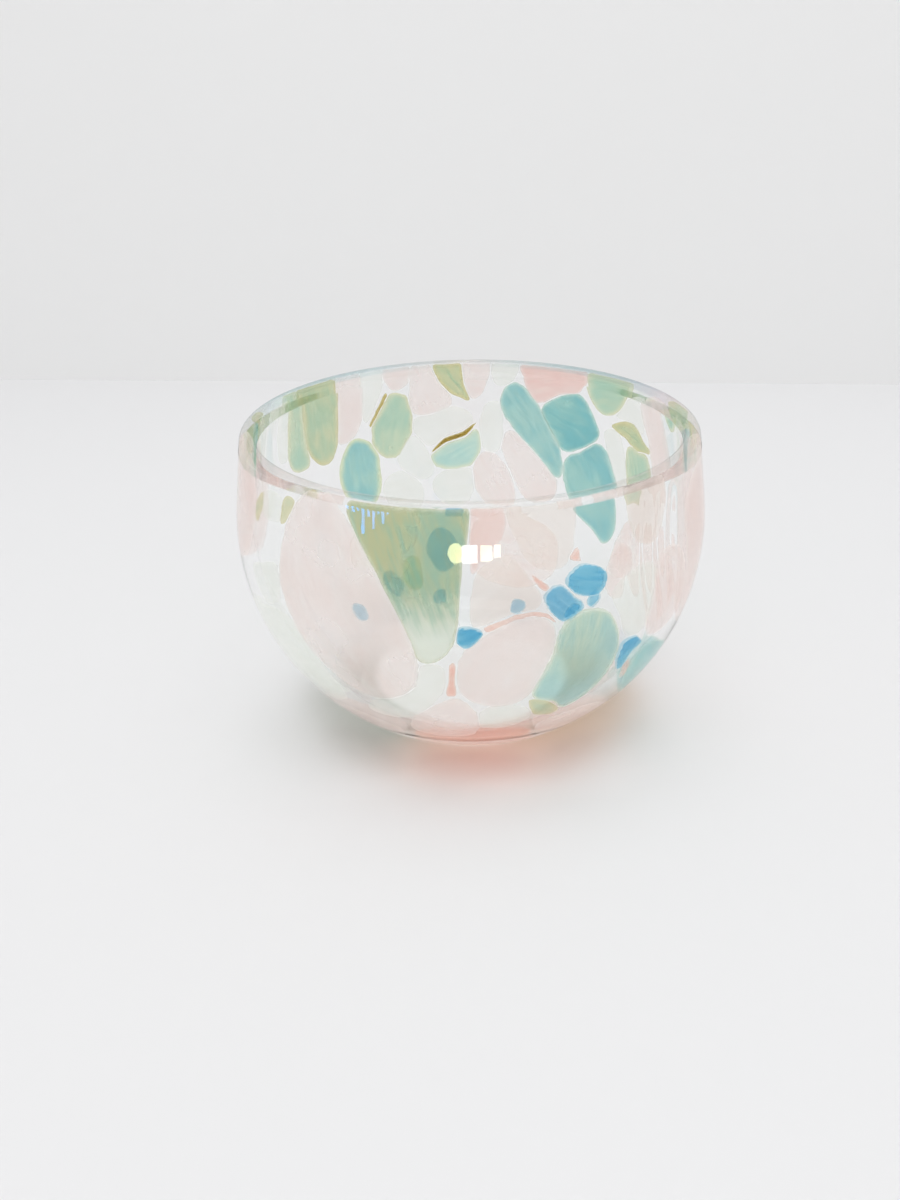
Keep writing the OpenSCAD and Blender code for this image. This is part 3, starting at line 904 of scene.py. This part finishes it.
    def mark(
        self, data: bpy.types.Mesh, facing: np.ndarray, outward: np.ndarray, strength: float
    ) -> None:
        """Writes what a chip's mesh carries, from the directions that `spread` gives."""
        spots = read(data.vertices, "co", 3)
        sides = np.nonzero(np.abs((facing * outward).sum(1)) < self.outline)[0]
        tree = KDTree(max(1, len(sides)))
        for index in sides:
            tree.insert(Vector(spots[index]), int(index))
        tree.balance()
        depth = np.array([tree.find(Vector(spot))[2] or 0.0 for spot in spots], np.float32)
        shares = np.clip(depth / self.rim_width, 0.0, 1.0).astype(np.float32)
        strengths = np.full(len(spots), strength, np.float32)
        for name, values in ((self.INWARD, shares), (self.STRENGTH, strengths)):
            carried = data.attributes.new(name, "FLOAT", "POINT")
            carried.data.foreach_set("value", values)
        middle = spots.mean(0)
        _, _, axes = np.linalg.svd(spots - middle, full_matrices=False)
        flat = (spots - middle) @ axes[:2].T / self.lay_unit
        corner_points = read(data.loops, "vertex_index", 1, np.int32).ravel()
        lay = data.uv_layers.new(name=self.LAY)
        lay.data.foreach_set("uv", flat[corner_points].astype(np.float32).ravel())
        data.shade_smooth()

    def dress(self, chip: bpy.types.Object, solid: bpy.types.Object, slot: str) -> None:
        """Gives a chip its glass and lets it stand for its solid."""
        finish = self.own.get(solid.name, ChipFinish.of_slot(slot))
        if finish not in self.finishes:
            self.finishes[finish] = finish.value.material()
        chip.data.materials.append(self.finishes[finish])
        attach(chip, "root")
        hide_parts(solid.name)


@dataclass(frozen=True)
class Lamp:
    """A soft flat lamp.

    Attributes:
        name: Its name.
        place: Where it hangs.
        target: What it points at.
        size: Its width and height.
        power: Its power in watts.
        colour: Colour of its light, from 0 to 1.
    """

    name: str
    place: Point
    target: Point
    size: tuple[float, float]
    power: float
    colour: Rgb = (1.0, 1.0, 1.0)

    def hang(self) -> bpy.types.Object:
        """Puts it in the scene."""
        data = bpy.data.lights.new(self.name, "AREA")
        data.shape = "RECTANGLE"
        data.size, data.size_y = self.size
        data.energy = self.power
        data.color = self.colour
        made = put(self.name, data)
        made.location = self.place
        aim = Vector(self.target) - Vector(self.place)
        made.rotation_euler = aim.to_track_quat("-Z", "Y").to_euler()
        return made


@dataclass
class Studio:
    """Plain pale table and wall, soft lamps and a pale sky.

    Attributes:
        sky: Strength of the light from all round.
        reach: How far the table and the wall reach to each side.
        table_colour: Colour of the table.
        wall_colour: Colour of the wall behind.
        wall_distance: Distance of the wall behind the bowl's axis.
        wall_height: Height of that wall.
        wall_turn: How far its left end is turned away.
        unevenness: Brightness of the duller parts of table and wall.
        cloud_scale: Fineness of those parts.
        overhead: The lamp over the bowl.
        fill: The lamp in front, which shows neither in the gloss nor through the glass.
        glint_strength: How bright the small panes shine.
        window: The window's panes: place along it, width and height, in millimetres.
        window_top: Where the middle of the window's top lies.
        window_way: The window's direction, to the right and to the back.
        window_target: What its panes point at.
        window_colour: Colour of its light.
        spots: The panes in front: place along their row, width and height in mm, and colour.
        spot_place: Where the middle of that row lies.
        spot_target: What those panes point at.
    """

    sky: float = 0.82
    reach: float = 2.5
    table_colour: Rgb = (228, 228, 229)
    wall_colour: Rgb = (239, 239, 239)
    wall_distance: float = 299 * MM
    wall_height: float = 1.6
    wall_turn: float = math.radians(3.7)
    unevenness: float = 0.985
    cloud_scale: float = 3.0
    overhead: Lamp = Lamp("overhead", (0.05, 0.1, 1.1), (0.0, 0.0, 0.0), (0.7, 0.7), 3.2)
    fill: Lamp = Lamp("front_fill", (0.0, -0.55, 0.9), (0.0, 0.1, 0.04), (0.8, 0.8), 1.6)
    glint_strength: float = 20.0
    window: tuple[tuple[float, float, float], ...] = (
        (-74, 12, 26), (-55, 9, 28), (-38, 8, 24), (-21, 11, 36), (-3, 8, 26), (13, 9, 31),
        (28, 8, 23), (44, 9, 27), (59, 7, 20),
    )
    window_top: Point = (-0.275, -0.289, 0.041)
    window_way: tuple[float, float] = (0.72, -0.69)
    window_target: Point = (-0.0217, -0.0538, 0.072)
    window_colour: Rgb = (0.02, 0.25, 1.0)
    spots: tuple[tuple[float, float, float, Rgb], ...] = (
        (-44, 34, 8.5, (1.0, 0.9, 0.42)),
        (-14, 34, 7.5, (1.0, 1.0, 1.0)),
        (22, 26, 6.5, (1.0, 0.88, 0.62)),
        (46, 16, 5.5, (1.0, 0.78, 0.6)),
    )
    spot_place: Point = (0.012, -0.305, 0.023)
    spot_target: Point = (0.001, -0.0587, 0.066)

    def build(self) -> None:
        """Sets the table, the wall, the sky and the lamps."""
        far, high = self.reach, self.wall_height
        slope = far * math.tan(self.wall_turn)
        left = (-far, self.wall_distance + slope)
        right = (far, self.wall_distance - slope)
        table = [(-far, -far, 0), (far, -far, 0), (*right, 0), (*left, 0)]
        self.plane("table", table, self.table_colour)
        wall = [(*left, 0), (*right, 0), (*right, high), (*left, high)]
        self.plane("wall_behind", wall, self.wall_colour)
        world = bpy.data.worlds.new("sky")
        bpy.context.scene.world = world
        world.use_nodes = True
        background = world.node_tree.nodes["Background"]
        background.inputs["Color"].default_value = WHITE
        background.inputs["Strength"].default_value = self.sky
        self.overhead.hang()
        fill = self.fill.hang()
        fill.visible_glossy = False
        fill.visible_transmission = False
        self.panes()

    def panes(self) -> None:
        """Hangs the window and the row of panes in front, which show in the gloss."""
        x, y, z = self.window_top
        right, back = self.window_way
        for index, (along, width, tall) in enumerate(self.window):
            name, size = f"window_{index}", (width, tall)
            place = (x + along * right * MM, y + along * back * MM, z - tall * MM / 2)
            self.glint(name, place, self.window_target, size, self.window_colour)
        x, y, z = self.spot_place
        for index, (along, width, tall, colour) in enumerate(self.spots):
            place = (x + along * MM, y, z)
            spot = self.glint(f"spot_{index}", place, self.spot_target, (width, tall), colour)
            spot.data.shape = "ELLIPSE" if index == 0 else "RECTANGLE"

    def plane(self, name: str, corners: list[Point], colour: Rgb) -> None:
        """Lays a plain matt plane of a colour as seen."""
        data = bpy.data.meshes.new(name)
        data.from_pydata(corners, [], [(0, 1, 2, 3)])
        made = put(name, data)
        bench = ShaderBench(name)
        place = bench.node("ShaderNodeTexCoord").outputs["Object"]
        cloud = bench.grain(place, self.cloud_scale, 2.0)
        base = shown(*colour)
        dark = tuple(self.unevenness * v for v in base[:3]) + (1.0,)
        matt = bench.node("ShaderNodeBsdfDiffuse", Color=bench.blend(cloud, dark, base))
        data.materials.append(bench.finish(matt.outputs[0]))
        made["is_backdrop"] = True

    def glint(
        self, name: str, place: Point, target: Point, size: tuple[float, float], colour: Rgb
    ) -> bpy.types.Object:
        """Hangs a small bright pane, sized in millimetres, that shows in the gloss alone."""
        width, tall = size[0] * MM, size[1] * MM
        power = self.glint_strength * math.pi * width * tall
        pane = Lamp(name, place, target, (width, tall), power, colour).hang()
        pane.visible_camera = False
        pane.visible_diffuse = False
        pane.visible_transmission = False
        return pane


@dataclass
class Viewpoint:
    """The camera, given by how it sees the rim.

    Attributes:
        rim_height: Height of the rim's centre.
        pitch: How far it looks down on the rim's centre.
        distance: Distance from the rim's centre.
        offset: Where the rim's centre lands from the middle of the picture, right and down.
        roll: How far the camera is rolled.
        picture: Height of the picture in pixels.
        focal: Focal length in the same pixels.
        sensor: Height of the sensor in millimetres.
        nearest: Nearest distance that shows.
    """

    rim_height: float = 78.5 * MM
    pitch: float = math.radians(18.12)
    distance: float = 317.5 * MM
    offset: tuple[float, float] = (19.01, -180.32)
    roll: float = math.radians(-0.597)
    picture: float = 1200.0
    focal: float = 1250.0
    sensor: float = 36.0
    nearest: float = 10 * MM

    def build(self) -> None:
        """Places the camera and makes it the scene's."""
        along = Vector((0.0, math.cos(self.pitch), -math.sin(self.pitch)))
        down = Vector((0.0, -math.sin(self.pitch), -math.cos(self.pitch)))
        right = Vector((1.0, 0.0, 0.0))
        across, under = self.offset
        down_px, right_px = turned(under, across, self.roll)
        yaw = math.atan2(right_px, self.focal)
        dip = math.atan2(down_px, math.hypot(self.focal, right_px))
        tipped, new_down = turned(along, down, dip)
        new_along, new_right = turned(tipped, right, yaw)
        rolled_right, rolled_down = turned(new_right, new_down, self.roll)
        turn = Matrix((rolled_right, -rolled_down, -new_along)).transposed()
        data = bpy.data.cameras.new("view")
        data.sensor_width = self.sensor
        data.lens = self.sensor * self.focal / self.picture
        data.clip_start = self.nearest
        made = put("view", data)
        place = Vector((0.0, 0.0, self.rim_height)) - along * self.distance
        made.matrix_world = Matrix.Translation(place) @ turn.to_4x4()
        bpy.context.scene.camera = made


def corners() -> list[list[float]]:
    """Gives the model's box as plain lists."""
    return [[float(v) for v in corner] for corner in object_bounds()]


def main() -> None:
    """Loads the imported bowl, dresses its wall and chips, and sets the studio round it."""
    logging.basicConfig(level=logging.INFO, format="%(name)s: %(message)s")
    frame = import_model()
    bpy.context.scene.view_settings.view_transform = "Standard"
    slots = {part["node"]: part["material_slot"] for part in frame["record"]["subparts"]}

    wall = BlownWall()
    made = wall.build()
    wall.dress(made)
    LOG.info("clear wall: %d points", len(made.data.vertices))

    layer = ChipLayer()
    solids = {name: solid for name, solid in frame["nodes"].items() if name != CLEAR_NODE}
    for name, solid in solids.items():
        others = [one for other, one in solids.items() if other != name]
        chip = layer.build(solid, slots[name], others)
        LOG.info("%s: %d points", name, len(chip.data.vertices))

    Studio().build()
    Viewpoint().build()
    bpy.context.scene.cycles.transparent_max_bounces = GLASS_LAYERS
    LOG.info("studio and camera set")


if __name__ == "__main__":
    main()
